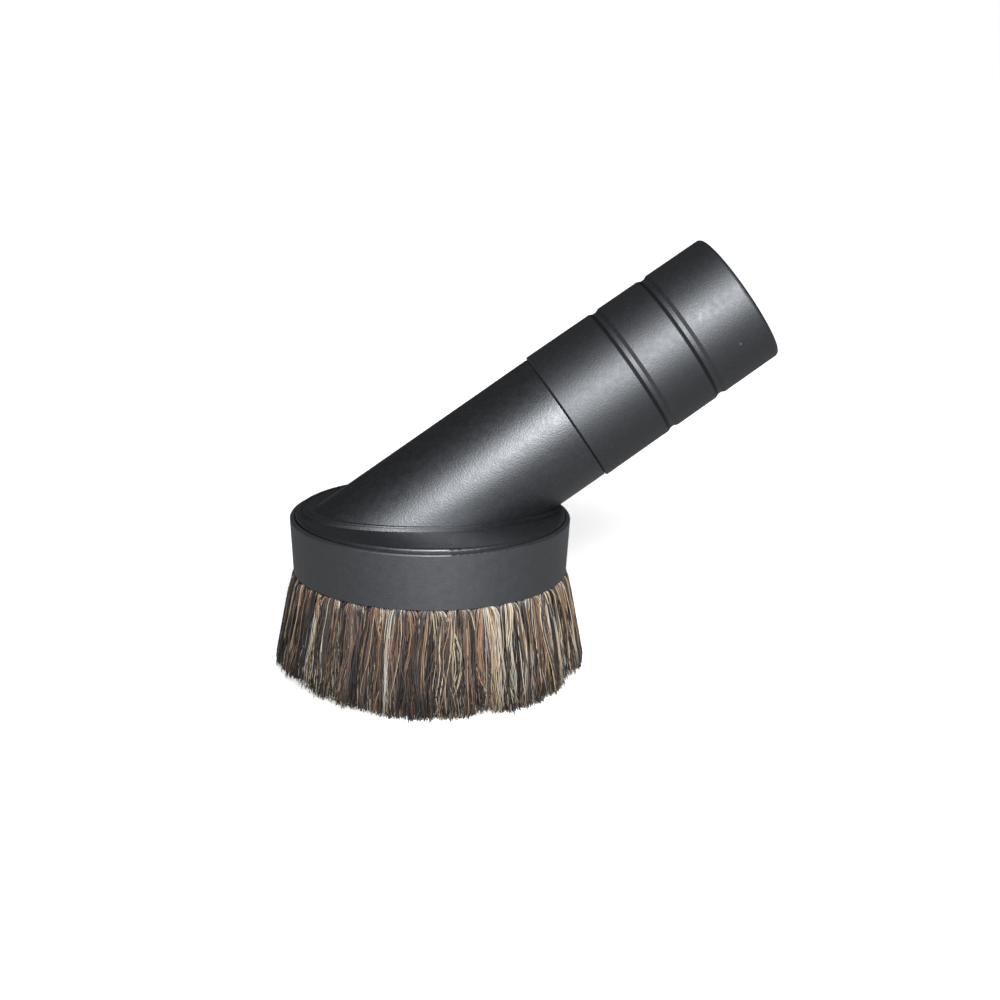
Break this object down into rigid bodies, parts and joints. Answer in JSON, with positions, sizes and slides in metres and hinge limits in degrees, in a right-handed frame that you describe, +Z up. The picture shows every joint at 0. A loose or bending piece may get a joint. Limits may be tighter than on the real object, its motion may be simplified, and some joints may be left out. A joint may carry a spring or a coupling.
{
  "type": "vacuum dusting brush",
  "caption": "Round dusting brush for a vacuum cleaner: a ring of natural bristle tufts under a hood with a slanted neck and a socket cuff for the wand.",
  "frame": {"origin": "middle of the overall footprint, on the plane that the bristle tips stand on", "axes": "+Z up; +X the way the neck leans, towards the socket; the brush is symmetric about the XZ plane"},
  "size_m": [0.1307, 0.0802, 0.1138],
  "materials": {
    "hood_plastic": "moulded charcoal ABS with a satin skin",
    "cuff_plastic": "moulded charcoal ABS, satin, slightly scuffed",
    "ring_plastic": "moulded charcoal polypropylene, satin",
    "anchor_wire": "flat drawn wire",
    "bristle_hair": "mixed natural horsehair, cream to near black"
  },
  "bodies": {
    "root": {"hood": "hood_plastic", "cuff": "cuff_plastic", "bristle_ring": "ring_plastic", "tuft_anchors": "anchor_wire", "outer_tuft_01": "bristle_hair", "outer_tuft_02": "bristle_hair", "outer_tuft_03": "bristle_hair", "outer_tuft_04": "bristle_hair", "outer_tuft_05": "bristle_hair", "outer_tuft_06": "bristle_hair", "outer_tuft_07": "bristle_hair", "outer_tuft_08": "bristle_hair", "outer_tuft_09": "bristle_hair", "outer_tuft_10": "bristle_hair", "outer_tuft_11": "bristle_hair", "outer_tuft_12": "bristle_hair", "outer_tuft_13": "bristle_hair", "outer_tuft_14": "bristle_hair", "outer_tuft_15": "bristle_hair", "outer_tuft_16": "bristle_hair", "outer_tuft_17": "bristle_hair", "outer_tuft_18": "bristle_hair", "outer_tuft_19": "bristle_hair", "outer_tuft_20": "bristle_hair", "outer_tuft_21": "bristle_hair", "outer_tuft_22": "bristle_hair", "outer_tuft_23": "bristle_hair", "outer_tuft_24": "bristle_hair", "outer_tuft_25": "bristle_hair", "outer_tuft_26": "bristle_hair", "outer_tuft_27": "bristle_hair", "outer_tuft_28": "bristle_hair", "outer_tuft_29": "bristle_hair", "outer_tuft_30": "bristle_hair", "outer_tuft_31": "bristle_hair", "outer_tuft_32": "bristle_hair", "inner_tuft_01": "bristle_hair", "inner_tuft_02": "bristle_hair", "inner_tuft_03": "bristle_hair", "inner_tuft_04": "bristle_hair", "inner_tuft_05": "bristle_hair", "inner_tuft_06": "bristle_hair", "inner_tuft_07": "bristle_hair", "inner_tuft_08": "bristle_hair", "inner_tuft_09": "bristle_hair", "inner_tuft_10": "bristle_hair", "inner_tuft_11": "bristle_hair", "inner_tuft_12": "bristle_hair", "inner_tuft_13": "bristle_hair", "inner_tuft_14": "bristle_hair", "inner_tuft_15": "bristle_hair", "inner_tuft_16": "bristle_hair", "inner_tuft_17": "bristle_hair", "inner_tuft_18": "bristle_hair", "inner_tuft_19": "bristle_hair", "inner_tuft_20": "bristle_hair", "inner_tuft_21": "bristle_hair", "inner_tuft_22": "bristle_hair", "inner_tuft_23": "bristle_hair", "inner_tuft_24": "bristle_hair"}
  },
  "joints": []
}
